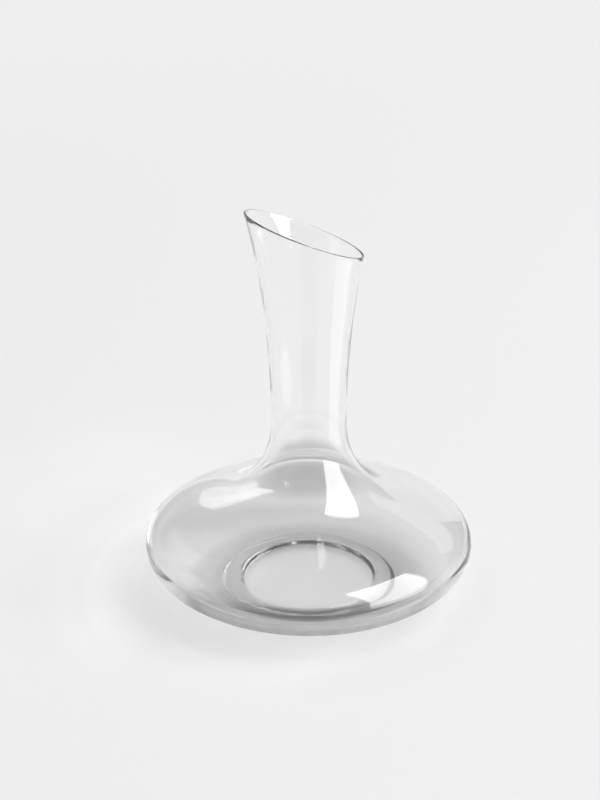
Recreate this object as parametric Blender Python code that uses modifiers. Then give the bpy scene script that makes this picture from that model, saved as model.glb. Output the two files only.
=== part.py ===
"""Wine decanter: one piece of clear blown glass with a wide, low bowl, a slim neck that flares
upwards, and a mouth cut on a slant. The bottom is slightly hollow underneath, so the vessel
stands on a ring.

Metres, +Z up. The origin is the centre of the standing ring, on the table, and the high
(pouring) side of the slanted mouth is at -X.
"""

import math

import bmesh
import bpy
import numpy as np
from mathutils import Vector
from mathutils.geometry import interpolate_bezier

# The outside, from the table up
FOOT_RADIUS = 0.0565  # where the bowl's outside turns under
FOOT_EDGE_HEIGHT = 0.0020  # of that turn, over the table
FOOT_RISE = math.radians(14)  # how steeply the outside leaves the foot
BOWL_RADIUS = 0.1075
BOWL_HEIGHT = 0.0336  # of the widest circle
SHOULDER_RADIUS = 0.0600  # where the bowl's dome turns into the neck's sweep
SHOULDER_HEIGHT = 0.0655
SHOULDER_SLOPE = math.radians(25)
WAIST_RADIUS = 0.0243  # the narrowest circle of the neck
WAIST_HEIGHT = 0.1207
LIP_RADIUS = 0.0405  # of the neck's cone at the height of the pouring lip
LIP_HEIGHT = 0.2610
LIP_FLARE = math.radians(15)  # the wall's lean outwards, from upright

# How far each point's curve runs on before it bends: the lengths of its Bezier handles
FOOT_REACH = 0.0238
BOWL_REACH_DOWN = 0.0185
BOWL_REACH_UP = 0.0156
SHOULDER_REACH_OUT = 0.0278
SHOULDER_REACH_IN = 0.0291
WAIST_REACH_DOWN = 0.0247
WAIST_REACH_UP = 0.0470
LIP_REACH = 0.0400

# The slanted mouth
MOUTH_SLANT = math.radians(22.2)
MOUTH_HEIGHT = 0.2452  # of the mouth's plane on the axis
SLANT_START = 0.1600  # the neck is plainly turned up to this height

# The glass
LIP_WALL = 0.0012
BOWL_WALL = 0.0030  # at the widest circle
CAVITY_RADIUS = 0.1043  # the cavity's widest circle, a little above the bowl's
CAVITY_HEIGHT = 0.0360
FLOOR_HEIGHT = 0.0056  # the inside floor, over the table
FLOOR_RADIUS = 0.0410  # the flat middle of the floor
FLOOR_REACH = 0.0310
CAVITY_REACH = 0.0185

# The underside: a rounded bead that stands on its flat crest, and the hollow inside it
RING_OUTER_RADIUS = 0.0530
RING_INNER_RADIUS = 0.0500
BEAD_REACH = 0.0030
HOLLOW_RADIUS = 0.0430
HOLLOW_EDGE_HEIGHT = 0.0020
HOLLOW_LEAN = math.radians(30)  # the bead's slope where it meets the hollow
HOLLOW_REACH = 0.0015
HOLLOW_HEIGHT = 0.0028
HOLLOW_CROWN_REACH = 0.0140
FOOT_ROUNDING = 0.55  # handle length that makes a quarter ellipse

# Points along each curve of the section, and round the axis
UNDERSIDE_POINTS = 10
DOME_POINTS = 9
SWEEP_POINTS = 10
NECK_POINTS = 9
CAVITY_POINTS = 12
BEAD_POINTS = 5
LIP_POINTS = 4
SEGMENTS = 64
MERGE = 0.00001

GLASS_COLOUR = (0.93, 0.94, 0.94, 1.0)
GLASS_IOR = 1.5


def arm(point, angle, length):
    """The Bezier handle that leaves a profile point at an angle from level."""
    return (point[0] + length * math.cos(angle), point[1] + length * math.sin(angle))


def bezier(start, start_handle, end_handle, end, count):
    """Points (radius, height) along one Bezier stretch, both ends included."""
    knots = [Vector((r, z, 0.0)) for r, z in (start, start_handle, end_handle, end)]
    return [(p.x, p.y) for p in interpolate_bezier(*knots, count)]


def outer_wall():
    """The outside from the table up to the pouring lip, as (radius, height)."""
    foot = (FOOT_RADIUS, FOOT_EDGE_HEIGHT)
    widest = (BOWL_RADIUS, BOWL_HEIGHT)
    shoulder = (SHOULDER_RADIUS, SHOULDER_HEIGHT)
    waist = (WAIST_RADIUS, WAIST_HEIGHT)
    lip = (LIP_RADIUS, LIP_HEIGHT)
    up = math.pi / 2
    outwards = -SHOULDER_SLOPE
    inwards = math.pi - SHOULDER_SLOPE
    underside = bezier(
        foot,
        arm(foot, FOOT_RISE, FOOT_REACH),
        arm(widest, -up, BOWL_REACH_DOWN),
        widest,
        UNDERSIDE_POINTS,
    )
    dome = bezier(
        widest,
        arm(widest, up, BOWL_REACH_UP),
        arm(shoulder, outwards, SHOULDER_REACH_OUT),
        shoulder,
        DOME_POINTS,
    )
    sweep = bezier(
        shoulder,
        arm(shoulder, inwards, SHOULDER_REACH_IN),
        arm(waist, -up, WAIST_REACH_DOWN),
        waist,
        SWEEP_POINTS,
    )
    neck = bezier(
        waist,
        arm(waist, up, WAIST_REACH_UP),
        arm(lip, -up - LIP_FLARE, LIP_REACH),
        lip,
        NECK_POINTS,
    )
    return underside + dome[1:] + sweep[1:] + neck[1:]


def wall_thickness(height):
    """The glass thins evenly from the bowl's widest circle to the lip."""
    return float(np.interp(height, (BOWL_HEIGHT, LIP_HEIGHT), (BOWL_WALL, LIP_WALL)))


def inner_wall(outer):
    """The cavity from the middle of its floor up to the lip, inside the given outer wall."""
    floor_edge = (FLOOR_RADIUS, FLOOR_HEIGHT)
    widest = (CAVITY_RADIUS, CAVITY_HEIGHT)
    inside = [(0.0, FLOOR_HEIGHT)]
    inside += bezier(
        floor_edge,
        arm(floor_edge, 0.0, FLOOR_REACH),
        arm(widest, -math.pi / 2, CAVITY_REACH),
        widest,
        CAVITY_POINTS,
    )
    for before, here, after in zip(outer, outer[1:], outer[2:] + outer[-1:]):
        along = Vector((after[0] - before[0], after[1] - before[1])).normalized()
        thickness = wall_thickness(here[1])
        radius = here[0] - along.y * thickness
        height = here[1] + along.x * thickness
        if height > CAVITY_HEIGHT + BOWL_WALL / 2:
            inside.append((radius, height))
    return inside


def lip_round(inside_top, outside_top):
    """The melted edge of the mouth: half a circle from the inner wall over to the outer wall."""
    inner, outer = Vector(inside_top), Vector(outside_top)
    centre = (inner + outer) / 2
    across = (inner - outer) / 2
    over = Vector((-across.y, across.x))
    if over.y < 0:
        over = -over
    angles = [math.pi * step / (LIP_POINTS + 1) for step in range(1, LIP_POINTS + 1)]
    return [tuple(centre + across * math.cos(a) + over * math.sin(a)) for a in angles]


def standing_ring():
    """The underside: from the foot's rounded edge over the flat ring, up to the hollow's middle."""
    edge = (FOOT_RADIUS, FOOT_EDGE_HEIGHT)
    outer = (RING_OUTER_RADIUS, 0.0)
    inner = (RING_INNER_RADIUS, 0.0)
    rise = (HOLLOW_RADIUS, HOLLOW_EDGE_HEIGHT)
    middle = (0.0, HOLLOW_HEIGHT)
    rounding = bezier(
        edge,
        arm(edge, -math.pi / 2, FOOT_EDGE_HEIGHT * FOOT_ROUNDING),
        arm(outer, 0.0, (FOOT_RADIUS - RING_OUTER_RADIUS) * FOOT_ROUNDING),
        outer,
        BEAD_POINTS,
    )
    bead = bezier(
        inner,
        arm(inner, math.pi, BEAD_REACH),
        arm(rise, -HOLLOW_LEAN, HOLLOW_REACH),
        rise,
        BEAD_POINTS,
    )
    hollow = bezier(
        rise,
        arm(rise, math.pi - HOLLOW_LEAN, HOLLOW_REACH),
        arm(middle, 0.0, HOLLOW_CROWN_REACH),
        middle,
        BEAD_POINTS,
    )
    return rounding[1:] + bead + hollow[1:]


def section():
    """Half the decanter's section with a level mouth: up the inside, over the lip, and down."""
    outer = outer_wall()
    inner = inner_wall(outer)
    lip = lip_round(inner[-1], outer[-1])
    return inner + lip + outer[::-1] + standing_ring()


def turned_mesh(points, name):
    """The points (radius, height) turned once round the axis, as a mesh."""
    profile = bpy.data.meshes.new(name + "_section")
    edges = [(index, index + 1) for index in range(len(points) - 1)]
    profile.from_pydata([(radius, 0.0, height) for radius, height in points], edges, [])
    lathe = bpy.data.objects.new(name + "_lathe", profile)
    bpy.context.scene.collection.objects.link(lathe)
    screw = lathe.modifiers.new("Turn", "SCREW")
    screw.axis = "Z"
    screw.steps = screw.render_steps = SEGMENTS
    screw.use_merge_vertices = True
    screw.merge_threshold = MERGE
    bpy.context.view_layer.update()
    graph = bpy.context.evaluated_depsgraph_get()
    mesh = bpy.data.meshes.new_from_object(lathe.evaluated_get(graph))
    mesh.name = name
    bpy.data.objects.remove(lathe)
    bpy.data.meshes.remove(profile)
    return mesh


def slant_mouth(mesh):
    """Slides the neck's points along its own surface until the mouth lies on the slanted plane."""
    neck = [point for point in outer_wall() if point[1] >= WAIST_HEIGHT]
    heights = [height for _, height in neck]
    radii = [radius for radius, _ in neck]

    def neck_radius(height):
        return float(np.interp(height, heights, radii))

    def mouth_height(azimuth):
        height = MOUTH_HEIGHT
        for _ in range(20):
            height = MOUTH_HEIGHT - math.tan(MOUTH_SLANT) * neck_radius(height) * math.cos(azimuth)
        return height

    shape = bmesh.new()
    shape.from_mesh(mesh)
    for vertex in shape.verts:
        radius = math.hypot(vertex.co.x, vertex.co.y)
        height = vertex.co.z
        if height <= SLANT_START:
            continue
        azimuth = math.atan2(vertex.co.y, vertex.co.x)
        reach = (mouth_height(azimuth) - SLANT_START) / (LIP_HEIGHT - SLANT_START)
        slid = SLANT_START + (height - SLANT_START) * reach
        slid_radius = radius + neck_radius(slid) - neck_radius(height)
        vertex.co = (slid_radius * math.cos(azimuth), slid_radius * math.sin(azimuth), slid)
    shape.to_mesh(mesh)
    shape.free()


def glass_material():
    material = bpy.data.materials.new("clear_glass")
    material.use_nodes = True
    shader = material.node_tree.nodes["Principled BSDF"]
    shader.inputs["Base Color"].default_value = GLASS_COLOUR
    shader.inputs["Roughness"].default_value = 0.0
    shader.inputs["Metallic"].default_value = 0.0
    shader.inputs["IOR"].default_value = GLASS_IOR
    shader.inputs["Transmission Weight"].default_value = 1.0
    return material


def main():
    for old in list(bpy.data.objects):
        bpy.data.objects.remove(old)
    parts = bpy.data.collections.new("wine_decanter")
    bpy.context.scene.collection.children.link(parts)
    mesh = turned_mesh(section(), "glass_vessel")
    slant_mouth(mesh)
    mesh.materials.append(glass_material())
    mesh.shade_smooth()
    mesh.set_sharp_from_angle(angle=math.radians(40))
    parts.objects.link(bpy.data.objects.new("glass_vessel", mesh))


main()
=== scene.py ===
"""Looks of the wine decanter: one vessel of clear blown glass on a plain pale floor.

Metres, +Z up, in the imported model's own frame: the origin is the centre of the standing ring and
the high, pouring side of the slanted mouth is at -X.
"""

import math

import bmesh
import bpy
from mathutils import Matrix, Vector
from mathutils.geometry import interpolate_bezier


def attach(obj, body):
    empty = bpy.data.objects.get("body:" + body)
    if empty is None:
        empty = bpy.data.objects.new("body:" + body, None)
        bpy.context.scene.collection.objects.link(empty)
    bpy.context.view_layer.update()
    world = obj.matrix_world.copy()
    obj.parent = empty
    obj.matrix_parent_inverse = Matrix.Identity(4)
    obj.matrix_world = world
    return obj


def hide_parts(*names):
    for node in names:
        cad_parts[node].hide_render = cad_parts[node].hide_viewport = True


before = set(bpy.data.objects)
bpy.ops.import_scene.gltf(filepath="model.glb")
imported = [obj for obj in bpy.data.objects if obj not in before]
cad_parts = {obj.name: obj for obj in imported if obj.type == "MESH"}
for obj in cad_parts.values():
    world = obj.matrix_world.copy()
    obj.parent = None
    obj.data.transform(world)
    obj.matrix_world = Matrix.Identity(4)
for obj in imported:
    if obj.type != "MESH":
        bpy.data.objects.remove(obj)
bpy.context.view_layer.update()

# The outside, from the table up
FOOT_RADIUS = 0.0565
FOOT_EDGE_HEIGHT = 0.0020
FOOT_RISE = math.radians(14)
BOWL_RADIUS = 0.1075
BOWL_HEIGHT = 0.0336
SHOULDER_RADIUS = 0.0600
SHOULDER_HEIGHT = 0.0655
SHOULDER_SLOPE = math.radians(25)
WAIST_RADIUS = 0.0243
WAIST_HEIGHT = 0.1207
LIP_RADIUS = 0.0405
LIP_HEIGHT = 0.2610
LIP_FLARE = math.radians(15)

# How far each point's curve runs on before it bends: the lengths of its Bezier handles
FOOT_REACH = 0.0238
BOWL_REACH_DOWN = 0.0185
BOWL_REACH_UP = 0.0156
SHOULDER_REACH_OUT = 0.0278
SHOULDER_REACH_IN = 0.0291
WAIST_REACH_DOWN = 0.0247
WAIST_REACH_UP = 0.0470
LIP_REACH = 0.0400

# The slanted mouth
MOUTH_SLANT = math.radians(22.2)
MOUTH_HEIGHT = 0.2450  # of the mouth's plane on the axis
SLANT_START = 0.1600  # the neck is plainly turned up to this height
SLANT_ROUNDS = 20  # steps towards the height where the neck meets the mouth's plane

# The wall and the inside floor
LIP_WALL = 0.0012
BOWL_WALL = 0.0030
CAVITY_RADIUS = 0.1043
CAVITY_HEIGHT = 0.0360
CAVITY_REACH = 0.0185
FLOOR_HEIGHT = 0.0056
FLOOR_RADIUS = 0.0410
FLOOR_REACH = 0.0310
FLOOR_RINGS = (0.33, 0.67)  # of the flat floor's radius

# The underside: a rounded bead that stands on its flat crest, and the hollow inside it
FOOT_ROUNDING = 0.55  # handle length that makes a quarter ellipse
RING_OUTER_RADIUS = 0.0530
RING_INNER_RADIUS = 0.0500
BEAD_REACH = 0.0030
HOLLOW_LEAN = math.radians(30)
HOLLOW_REACH = 0.0015
HOLLOW_RADIUS = 0.0430
HOLLOW_EDGE_HEIGHT = 0.0020
HOLLOW_HEIGHT = 0.0028
HOLLOW_CROWN_REACH = 0.0140

# Points round the axis and along each curve of the section
SEGMENTS = 224
STRETCH_POINTS = 36
LIP_POINTS = 11
FOOT_EDGE_POINTS = 12
BEAD_POINTS = 16
HOLLOW_POINTS = 14
AXIS_RADIUS = 1e-6  # a point of the section nearer to the axis than this lies on it

# The glass: painted shade gives the bowl a faint grey that fades out between two heights on the way up
GLASS_IOR = 1.5
GLASS_DEPTH = 3.2
GLASS_DEPTH_COLOUR = (0.0, 0.0, 0.0, 1.0)
BOWL_PAINTED_SHADE = (0.953, 0.953, 0.953, 1.0)
NECK_UNSHADED = (1.0, 1.0, 1.0, 1.0)
PAINTED_SHADE_FROM = 0.060
PAINTED_SHADE_TO = 0.100
WAVE_SCALE = 30.0
WAVE_HEIGHT = 0.0002

# The camera: a long lens, a little over a metre away, looking down on the decanter
CAMERA_PLACE = (-0.4209, -1.0488, 0.6425)
CAMERA_PITCH = math.radians(24.24)
CAMERA_TURN = math.radians(-21.58)
CAMERA_REACH = 100.0
LENS_MM = 86.9
SENSOR_MM = 36.0

# The floor, which fades into the even background between two distances from the decanter
FLOOR_SIZE = 120.0
FLOOR_GAP = 0.0003
FLOOR_ALBEDO = 0.5
# The floor's own glow, painted light that keeps its shadows shallow
FLOOR_GLOW = 0.32
BACKGROUND = 0.863
FAR_FADE = (0.5, 1.6)

# Its painted round shades and lights: centres (right, away) from the camera's side, and stops (radius,
# grey)
MIDDLE = (0.0, 0.0)
SHADE_REACH = 0.40

# Painted light and shade seen in and through the glass: under the foot, under the bowl's front, and round
# about
# Painted light inside the foot and painted shade under its ring
RING_CENTRE = (0.0, -0.003)
RING_STOPS = ((0.0, 1.14), (0.038, 1.12), (0.048, 0.82), (0.058, 0.70), (0.070, 0.82), (0.086, 1.0))
# A painted dark crescent under the bowl's front
FRONT_STOPS = ((0.0, 1.14), (0.036, 1.10), (0.047, 0.6), (0.054, 0.10),
               (0.070, 0.10), (0.078, 0.55), (0.104, 0.6), (0.112, 1.0))
FRONT_BEARING = (0.0, -1.0)
FRONT_FADE = (0.030, 0.052)
# Painted shade behind the decanter and on the floor before it
BEHIND_CENTRE = (0.0, 0.165)
BEHIND_STOPS = ((0.0, 0.6), (0.025, 0.65), (0.060, 1.0))
BEFORE_CENTRE = (0.0, -0.42)
BEFORE_STOPS = ((0.0, 0.6), (0.16, 0.65), (0.20, 1.0))
# A painted pool of light at the right, and painted light at the left
RIGHT_CENTRE = (0.375, -0.050)
RIGHT_STOPS = ((0.0, 1.85), (0.135, 1.85), (0.15, 1.0))
LEFT_CENTRE = (-0.085, 0.020)
LEFT_STOPS = ((0.0, 1.18), (0.03, 1.15), (0.07, 1.0))
# Painted shade under the lower edges of the bowl, left and right of the foot
EDGE_RIGHT_CENTRE = (0.090, -0.035)
EDGE_LEFT_CENTRE = (-0.088, -0.042)
EDGE_STOPS = ((0.0, 0.75), (0.018, 0.80), (0.036, 1.0))

# Seen by the camera beside the glass: painted shade over the bright spill, painted light in the soft
# shadow
BRIGHT_BEARING = (0.82, -0.57)
BRIGHT_FADE = (0.060, 0.090)
BRIGHT_STOPS = ((0.0, 0.89), (0.090, 0.895), (0.100, 0.92), (0.112, 0.955), (0.130, 0.985), (0.150, 1.0))
SHADOW_BEARING = (-0.90, 0.43)
SHADOW_FADE = (0.055, 0.100)
SHADOW_STOPS = ((0.0, 1.0), (0.105, 1.05), (0.117, 1.085), (0.135, 1.11),
                (0.145, 1.10), (0.155, 1.05), (0.185, 1.0))
FAR_SHADOW_CENTRE = (-0.155, 0.110)
FAR_SHADOW_STOPS = ((0.0, 1.075), (0.040, 1.07), (0.080, 1.045), (0.150, 1.01), (0.200, 1.0))

# The light: a softbox given by its corners (right, away, up), and far upright cards given by
# their left and right bearings and their lower and upper elevations, in degrees
KEY_DISTANCE = 12.0
KEY_CORNERS = ((0.566, -0.674, 0.0), (0.989, -0.139, 0.052), (0.688, 0.336, 1.015), (0.265, -0.200, 0.963))
KEY_STRENGTH = 6.0
CARD_DISTANCE = 12.0
LEFT_CARD_SPAN = (-58, -12, 0, 20)
LEFT_CARD_STRENGTH = 0.45
HIGH_CARD_SPAN = (15, 50, 22, 34)
HIGH_CARD_STRENGTH = 1.0
BACKDROP_SPAN = (9, 29, 0, 22)
BACKDROP_STRENGTH = 0.9
SURROUND = 0.3

# Light runs a long way inside the wall before it leaves the glass
GLASS_BOUNCES = 160
DIFFUSE_BOUNCES = 8


def arm(point, angle, length):
    """The Bezier handle that leaves a profile point at an angle from level."""
    return (point[0] + length * math.cos(angle), point[1] + length * math.sin(angle))


def bezier(start, start_handle, end_handle, end, count):
    """Points (radius, height) along one Bezier stretch, both ends included."""
    knots = [Vector((r, z, 0.0)) for r, z in (start, start_handle, end_handle, end)]
    return [(p.x, p.y) for p in interpolate_bezier(*knots, count)]


def lerp(x, x0, x1, y0, y1):
    """The value at x on the line from (x0, y0) to (x1, y1), held level beyond both ends."""
    t = min(max((x - x0) / (x1 - x0), 0.0), 1.0)
    return y0 + (y1 - y0) * t


def outer_wall():
    """The outside from the table up to the pouring lip, as (radius, height)."""
    foot = (FOOT_RADIUS, FOOT_EDGE_HEIGHT)
    widest = (BOWL_RADIUS, BOWL_HEIGHT)
    shoulder = (SHOULDER_RADIUS, SHOULDER_HEIGHT)
    waist = (WAIST_RADIUS, WAIST_HEIGHT)
    lip = (LIP_RADIUS, LIP_HEIGHT)
    up = math.pi / 2
    outwards = -SHOULDER_SLOPE
    inwards = math.pi - SHOULDER_SLOPE
    underside = bezier(
        foot,
        arm(foot, FOOT_RISE, FOOT_REACH),
        arm(widest, -up, BOWL_REACH_DOWN),
        widest,
        STRETCH_POINTS,
    )
    dome = bezier(
        widest,
        arm(widest, up, BOWL_REACH_UP),
        arm(shoulder, outwards, SHOULDER_REACH_OUT),
        shoulder,
        STRETCH_POINTS,
    )
    sweep = bezier(
        shoulder,
        arm(shoulder, inwards, SHOULDER_REACH_IN),
        arm(waist, -up, WAIST_REACH_DOWN),
        waist,
        STRETCH_POINTS,
    )
    neck = bezier(
        waist,
        arm(waist, up, WAIST_REACH_UP),
        arm(lip, -up - LIP_FLARE, LIP_REACH),
        lip,
        STRETCH_POINTS,
    )
    return underside + dome[1:] + sweep[1:] + neck[1:]


def inner_wall(outer):
    """The cavity from the middle of its floor up to the lip, inside the given outer wall."""
    floor_edge = (FLOOR_RADIUS, FLOOR_HEIGHT)
    widest = (CAVITY_RADIUS, CAVITY_HEIGHT)
    inside = [(0.0, FLOOR_HEIGHT)]
    inside += [(FLOOR_RADIUS * part, FLOOR_HEIGHT) for part in FLOOR_RINGS]
    inside += bezier(
        floor_edge,
        arm(floor_edge, 0.0, FLOOR_REACH),
        arm(widest, -math.pi / 2, CAVITY_REACH),
        widest,
        STRETCH_POINTS,
    )
    for before, here, after in zip(outer, outer[1:], outer[2:] + outer[-1:]):
        along = Vector((after[0] - before[0], after[1] - before[1])).normalized()
        thickness = lerp(here[1], BOWL_HEIGHT, LIP_HEIGHT, BOWL_WALL, LIP_WALL)
        radius = here[0] - along.y * thickness
        height = here[1] + along.x * thickness
        if height > CAVITY_HEIGHT + BOWL_WALL:
            inside.append((radius, height))
    return inside


def lip_round(inside_top, outside_top):
    """The melted edge of the mouth: half a circle from the inner wall over to the outer wall."""
    inner, outer = Vector(inside_top), Vector(outside_top)
    centre = (inner + outer) / 2
    across = (inner - outer) / 2
    over = Vector((-across.y, across.x))
    if over.y < 0:
        over = -over
    angles = [math.pi * step / (LIP_POINTS + 1) for step in range(1, LIP_POINTS + 1)]
    return [tuple(centre + across * math.cos(a) + over * math.sin(a)) for a in angles]


def standing_ring():
    """The underside, from the rounded edge of the foot over the flat ring to the axis."""
    edge = (FOOT_RADIUS, FOOT_EDGE_HEIGHT)
    outer = (RING_OUTER_RADIUS, 0.0)
    inner = (RING_INNER_RADIUS, 0.0)
    rise = (HOLLOW_RADIUS, HOLLOW_EDGE_HEIGHT)
    middle = (0.0, HOLLOW_HEIGHT)
    foot_edge = bezier(
        edge,
        arm(edge, -math.pi / 2, FOOT_EDGE_HEIGHT * FOOT_ROUNDING),
        arm(outer, 0.0, (FOOT_RADIUS - RING_OUTER_RADIUS) * FOOT_ROUNDING),
        outer,
        FOOT_EDGE_POINTS,
    )
    bead = bezier(
        inner,
        arm(inner, math.pi, BEAD_REACH),
        arm(rise, -HOLLOW_LEAN, HOLLOW_REACH),
        rise,
        BEAD_POINTS,
    )
    hollow = bezier(
        rise,
        arm(rise, math.pi - HOLLOW_LEAN, HOLLOW_REACH),
        arm(middle, 0.0, HOLLOW_CROWN_REACH),
        middle,
        HOLLOW_POINTS,
    )
    return foot_edge[1:] + bead + hollow[1:]


def section():
    """Half the decanter's section with a level mouth: up the inside, over the lip, and down."""
    outer = outer_wall()
    inner = inner_wall(outer)
    lip = lip_round(inner[-1], outer[-1])
    return inner + lip + outer[::-1] + standing_ring()


def turned_mesh(points, name):
    """The points (radius, height) turned once round the axis, as a smooth mesh."""
    shape = bmesh.new()
    rings = []
    for radius, height in points:
        if radius < AXIS_RADIUS:
            rings.append([shape.verts.new((0.0, 0.0, height))])
            continue
        rings.append([
            shape.verts.new((radius * math.cos(a), radius * math.sin(a), height))
            for a in (2 * math.pi * step / SEGMENTS for step in range(SEGMENTS))
        ])
    for low, high in zip(rings, rings[1:]):
        for step in range(SEGMENTS):
            following = (step + 1) % SEGMENTS
            if len(low) == 1:
                shape.faces.new((low[0], high[step], high[following])[::-1])
            elif len(high) == 1:
                shape.faces.new((low[step], low[following], high[0]))
            else:
                shape.faces.new((low[step], low[following], high[following], high[step]))
    bmesh.ops.recalc_face_normals(shape, faces=shape.faces)
    mesh = bpy.data.meshes.new(name)
    shape.to_mesh(mesh)
    shape.free()
    mesh.shade_smooth()
    return mesh


def slant_mouth(mesh):
    """Slides the neck's points along its own surface until the mouth lies on the slanted plane."""
    neck = [point for point in outer_wall() if point[1] >= WAIST_HEIGHT]

    def neck_radius(height):
        """The neck's outer radius, carried on along its last slope above the turned lip."""
        if height <= neck[0][1]:
            return neck[0][0]
        for (r0, z0), (r1, z1) in zip(neck, neck[1:]):
            if height <= z1:
                return lerp(height, z0, z1, r0, r1)
        (r0, z0), (r1, z1) = neck[-2:]
        return r1 + (r1 - r0) / (z1 - z0) * (height - z1)

    def mouth_height(azimuth):
        height = MOUTH_HEIGHT
        for _ in range(SLANT_ROUNDS):
            height = MOUTH_HEIGHT - math.tan(MOUTH_SLANT) * neck_radius(height) * math.cos(azimuth)
        return height

    for vertex in mesh.vertices:
        height = vertex.co.z
        if height <= SLANT_START:
            continue
        radius = math.hypot(vertex.co.x, vertex.co.y)
        azimuth = math.atan2(vertex.co.y, vertex.co.x)
        reach = (mouth_height(azimuth) - SLANT_START) / (LIP_HEIGHT - SLANT_START)
        slid = SLANT_START + (height - SLANT_START) * reach
        slid_radius = radius + neck_radius(slid) - neck_radius(height)
        vertex.co = (slid_radius * math.cos(azimuth), slid_radius * math.sin(azimuth), slid)


def glass_material():
    """Clear glass: painted shade greys the bowl faintly and the neck not at all, and the surface is a
    touch wavy.
    """
    material = bpy.data.materials.new("clear_glass")
    material.use_nodes = True
    tree = material.node_tree
    shader = tree.nodes["Principled BSDF"]
    shader.inputs["Roughness"].default_value = 0.0
    shader.inputs["IOR"].default_value = GLASS_IOR
    shader.inputs["Transmission Weight"].default_value = 1.0
    depth = tree.nodes.new("ShaderNodeVolumeAbsorption")
    depth.inputs["Color"].default_value = GLASS_DEPTH_COLOUR
    depth.inputs["Density"].default_value = GLASS_DEPTH
    tree.links.new(depth.outputs["Volume"], tree.nodes["Material Output"].inputs["Volume"])
    coord = tree.nodes.new("ShaderNodeTexCoord")
    height = tree.nodes.new("ShaderNodeSeparateXYZ")
    tree.links.new(coord.outputs["Object"], height.inputs["Vector"])
    # Painted shade: the bowl's glass is a faint grey, which fades out on the way up to the neck
    rise = rising(tree, height.outputs["Z"], PAINTED_SHADE_FROM, PAINTED_SHADE_TO)
    painted_bowl_shade = blended(tree, rise.outputs["Result"], BOWL_PAINTED_SHADE, NECK_UNSHADED)
    tree.links.new(painted_bowl_shade, shader.inputs["Base Color"])
    waves = tree.nodes.new("ShaderNodeTexNoise")
    waves.inputs["Scale"].default_value = WAVE_SCALE
    waves.inputs["Detail"].default_value = 0.0
    tree.links.new(coord.outputs["Object"], waves.inputs["Vector"])
    bump = tree.nodes.new("ShaderNodeBump")
    bump.inputs["Strength"].default_value = 1.0
    bump.inputs["Distance"].default_value = WAVE_HEIGHT
    tree.links.new(waves.outputs["Fac"], bump.inputs["Height"])
    tree.links.new(bump.outputs["Normal"], shader.inputs["Normal"])
    return material


def make_vessel():
    mesh = turned_mesh(section(), "decanter_glass")
    slant_mouth(mesh)
    mesh.materials.append(glass_material())
    vessel = bpy.data.objects.new("decanter_glass", mesh)
    bpy.context.scene.collection.objects.link(vessel)
    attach(vessel, "root")
    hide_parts("glass_vessel")


def in_studio(right, away, up):
    """A place given from the camera's side: metres to its right, away from it, and up."""
    turn = Matrix.Rotation(CAMERA_TURN, 3, "Z")
    return turn @ Vector((right, away, up))


def grey(value):
    """A plain grey as a colour."""
    return (value, value, value, 1.0)


def connect(tree, value, socket):
    """Links a colour output to a socket, or sets the socket to a grey or a colour."""
    if isinstance(value, float):
        socket.default_value = grey(value)
    elif isinstance(value, tuple):
        socket.default_value = value
    else:
        tree.links.new(value, socket)


def colour_mix(tree, first, second):
    """A node that mixes two colours."""
    mix = tree.nodes.new("ShaderNodeMix")
    mix.data_type = "RGBA"
    connect(tree, first, mix.inputs[6])
    connect(tree, second, mix.inputs[7])
    return mix


def multiplied(tree, first, second):
    """The product of two colours."""
    mix = colour_mix(tree, first, second)
    mix.blend_type = "MULTIPLY"
    mix.inputs[0].default_value = 1.0
    return mix.outputs[2]


def blended(tree, factor, first, second):
    """The first colour where the factor is 0 and the second where it is 1."""
    mix = colour_mix(tree, first, second)
    tree.links.new(factor, mix.inputs[0])
    return mix.outputs[2]


def camera_sees(tree):
    """1 where the camera looks at a surface directly, and 0 in and through the glass."""
    return tree.nodes.new("ShaderNodeLightPath").outputs["Is Camera Ray"]


def floor_place(tree):
    """The point of the floor being shaded, as the object coordinates of the sheet."""
    return tree.nodes.new("ShaderNodeTexCoord").outputs["Object"]


def rising(tree, value, start, end):
    """A map range node that rises from 0 to 1 between two values."""
    spread = tree.nodes.new("ShaderNodeMapRange")
    spread.inputs["From Min"].default_value = start
    spread.inputs["From Max"].default_value = end
    tree.links.new(value, spread.inputs["Value"])
    return spread


def distance_from(tree, centre):
    """How far the shaded point lies from a point of the floor, (right, away)."""
    distance = tree.nodes.new("ShaderNodeVectorMath")
    distance.operation = "DISTANCE"
    distance.inputs[1].default_value = in_studio(*centre, 0.0)
    tree.links.new(floor_place(tree), distance.inputs[0])
    return distance.outputs["Value"]


def far_away(tree, start, end):
    """Rises smoothly from 0 to 1 between two distances from the decanter."""
    spread = rising(tree, distance_from(tree, MIDDLE), start, end)
    spread.interpolation_type = "SMOOTHSTEP"
    return spread.outputs["Result"]


def towards(tree, bearing, start, end):
    """Rises from 0 to 1 between two distances from the decanter's axis along a bearing."""
    along = tree.nodes.new("ShaderNodeVectorMath")
    along.operation = "DOT_PRODUCT"
    along.inputs[1].default_value = in_studio(*bearing, 0.0)
    tree.links.new(floor_place(tree), along.inputs[0])
    return rising(tree, along.outputs["Value"], start, end).outputs["Result"]


def painted_round_light_and_shade(tree, centre, stops):
    """Painted light and shade: a grey that changes with the distance from a point of the floor, (right,
    away).
    """
    scale = tree.nodes.new("ShaderNodeMath")
    scale.operation = "MULTIPLY"
    scale.inputs[1].default_value = 1 / SHADE_REACH
    tree.links.new(distance_from(tree, centre), scale.inputs[0])
    ramp = tree.nodes.new("ShaderNodeValToRGB")
    ramp.color_ramp.interpolation = "EASE"
    elements = ramp.color_ramp.elements
    for index, (radius, painted_light_and_shade) in enumerate(stops):
        element = elements[index] if index < 2 else elements.new(1.0)
        element.position = radius / SHADE_REACH
        element.color = grey(painted_light_and_shade)
    tree.links.new(scale.outputs["Value"], ramp.inputs["Fac"])
    return ramp.outputs["Color"]


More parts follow.
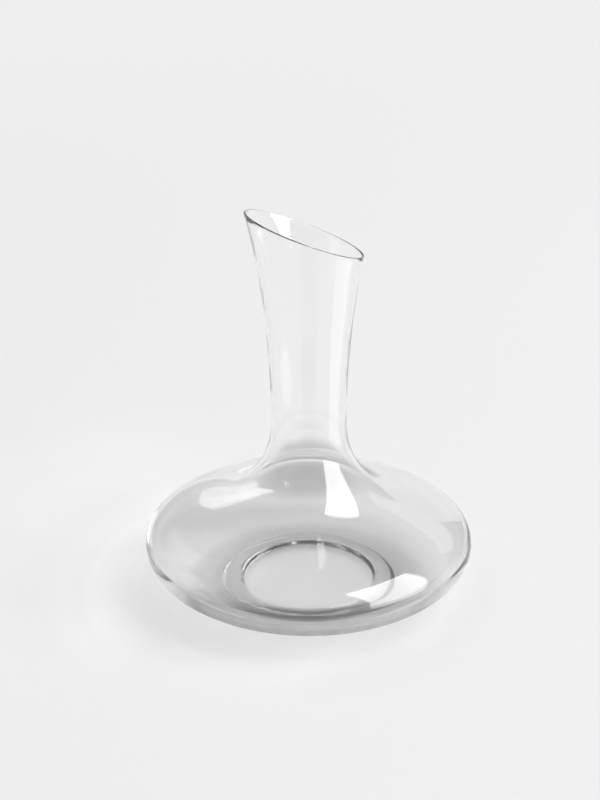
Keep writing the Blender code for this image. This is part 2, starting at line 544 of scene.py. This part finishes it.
def painted_light_and_shade_through_glass(tree):
    """The floor's painted light and shade as it shows in and through the glass."""
    ring = painted_round_light_and_shade(tree, RING_CENTRE, RING_STOPS)
    crescent = painted_round_light_and_shade(tree, MIDDLE, FRONT_STOPS)
    painted_light_and_shade = blended(tree, towards(tree, FRONT_BEARING, *FRONT_FADE), ring, crescent)
    for centre, stops in (
        (BEHIND_CENTRE, BEHIND_STOPS),
        (BEFORE_CENTRE, BEFORE_STOPS),
        (RIGHT_CENTRE, RIGHT_STOPS),
        (LEFT_CENTRE, LEFT_STOPS),
        (EDGE_RIGHT_CENTRE, EDGE_STOPS),
        (EDGE_LEFT_CENTRE, EDGE_STOPS),
    ):
        painted_light_and_shade = multiplied(tree, painted_light_and_shade, painted_round_light_and_shade(tree, centre, stops))
    return painted_light_and_shade


def painted_light_and_shade_beside_glass(tree):
    """The floor's painted light and shade where the camera sees it directly."""
    bright = towards(tree, BRIGHT_BEARING, *BRIGHT_FADE)
    painted_shade_over_spill = blended(tree, bright, 1.0, painted_round_light_and_shade(tree, MIDDLE, BRIGHT_STOPS))
    dark = towards(tree, SHADOW_BEARING, *SHADOW_FADE)
    painted_light_in_shadow = blended(tree, dark, 1.0, painted_round_light_and_shade(tree, MIDDLE, SHADOW_STOPS))
    near = multiplied(tree, painted_shade_over_spill, painted_light_in_shadow)
    return multiplied(tree, near, painted_round_light_and_shade(tree, FAR_SHADOW_CENTRE, FAR_SHADOW_STOPS))


def make_floor():
    """A pale sheet with painted light and shade near the decanter, which fades into the even background.
    """
    bpy.ops.mesh.primitive_plane_add(size=FLOOR_SIZE, location=(0.0, 0.0, -FLOOR_GAP))
    floor = bpy.context.object
    floor.name = "studio_floor"
    material = bpy.data.materials.new("pale_floor")
    material.use_nodes = True
    tree = material.node_tree
    shader = tree.nodes["Principled BSDF"]
    shader.inputs["Roughness"].default_value = 1.0
    shader.inputs["Specular IOR Level"].default_value = 0.0
    # Painted light and shade: one set for the camera's direct view, another in and through the glass
    painted_light_and_shade = blended(tree, camera_sees(tree), painted_light_and_shade_through_glass(tree), painted_light_and_shade_beside_glass(tree))
    far = far_away(tree, *FAR_FADE)
    lit = blended(tree, far, multiplied(tree, painted_light_and_shade, FLOOR_ALBEDO), 0.0)
    glow = blended(tree, far, multiplied(tree, painted_light_and_shade, FLOOR_GLOW), BACKGROUND)
    tree.links.new(lit, shader.inputs["Base Color"])
    tree.links.new(glow, shader.inputs["Emission Color"])
    shader.inputs["Emission Strength"].default_value = 1.0
    floor.data.materials.append(material)


def make_panel(name, corners, strength):
    """A softbox or white card: a glowing sheet that shows in the glass but not to the camera."""
    mesh = bpy.data.meshes.new(name)
    mesh.from_pydata([in_studio(*corner) for corner in corners], [], [tuple(range(len(corners)))])
    material = bpy.data.materials.new(name)
    material.use_nodes = True
    tree = material.node_tree
    tree.nodes.clear()
    glow = tree.nodes.new("ShaderNodeEmission")
    glow.inputs["Strength"].default_value = strength
    out = tree.nodes.new("ShaderNodeOutputMaterial")
    tree.links.new(glow.outputs["Emission"], out.inputs["Surface"])
    mesh.materials.append(material)
    panel = bpy.data.objects.new(name, mesh)
    bpy.context.scene.collection.objects.link(panel)
    panel.visible_camera = False
    panel.visible_shadow = False


def strip(left, right, low, high):
    """The corners of a far upright card between two bearings and two elevations, in degrees."""
    middle = math.radians((left + right) / 2)
    half = math.tan(math.radians((right - left) / 2))
    base, top = math.tan(math.radians(low)), math.tan(math.radians(high))
    corners = []
    for side, height in ((-half, base), (half, base), (half, top), (-half, top)):
        right_way = math.sin(middle) + side * math.cos(middle)
        away = math.cos(middle) - side * math.sin(middle)
        corners.append((right_way * CARD_DISTANCE, away * CARD_DISTANCE, height * CARD_DISTANCE))
    return corners


def make_light():
    key = [tuple(part * KEY_DISTANCE for part in corner) for corner in KEY_CORNERS]
    make_panel("key_softbox", key, KEY_STRENGTH)
    make_panel("left_card", strip(*LEFT_CARD_SPAN), LEFT_CARD_STRENGTH)
    make_panel("high_card", strip(*HIGH_CARD_SPAN), HIGH_CARD_STRENGTH)
    make_panel("backdrop", strip(*BACKDROP_SPAN), BACKDROP_STRENGTH)


def make_surround():
    """An even pale background to the camera, and a darker grey to the glass and the floor."""
    world = bpy.data.worlds.new("studio")
    bpy.context.scene.world = world
    world.use_nodes = True
    tree = world.node_tree
    back = tree.nodes["Background"]
    tree.links.new(blended(tree, camera_sees(tree), SURROUND, BACKGROUND), back.inputs["Color"])
    back.inputs["Strength"].default_value = 1.0


def make_camera():
    data = bpy.data.cameras.new("photo_view")
    data.lens = LENS_MM
    data.sensor_width = SENSOR_MM
    data.sensor_fit = "AUTO"
    data.clip_end = CAMERA_REACH
    camera = bpy.data.objects.new("photo_view", data)
    bpy.context.scene.collection.objects.link(camera)
    camera.location = CAMERA_PLACE
    camera.rotation_euler = (math.pi / 2 - CAMERA_PITCH, 0.0, CAMERA_TURN)
    bpy.context.scene.camera = camera


make_vessel()
make_floor()
make_light()
make_surround()
make_camera()
scene = bpy.context.scene
scene.view_settings.view_transform = "Standard"
scene.cycles.max_bounces = GLASS_BOUNCES
scene.cycles.transmission_bounces = GLASS_BOUNCES
scene.cycles.glossy_bounces = GLASS_BOUNCES
scene.cycles.diffuse_bounces = DIFFUSE_BOUNCES
scene.cycles.blur_glossy = 0.0
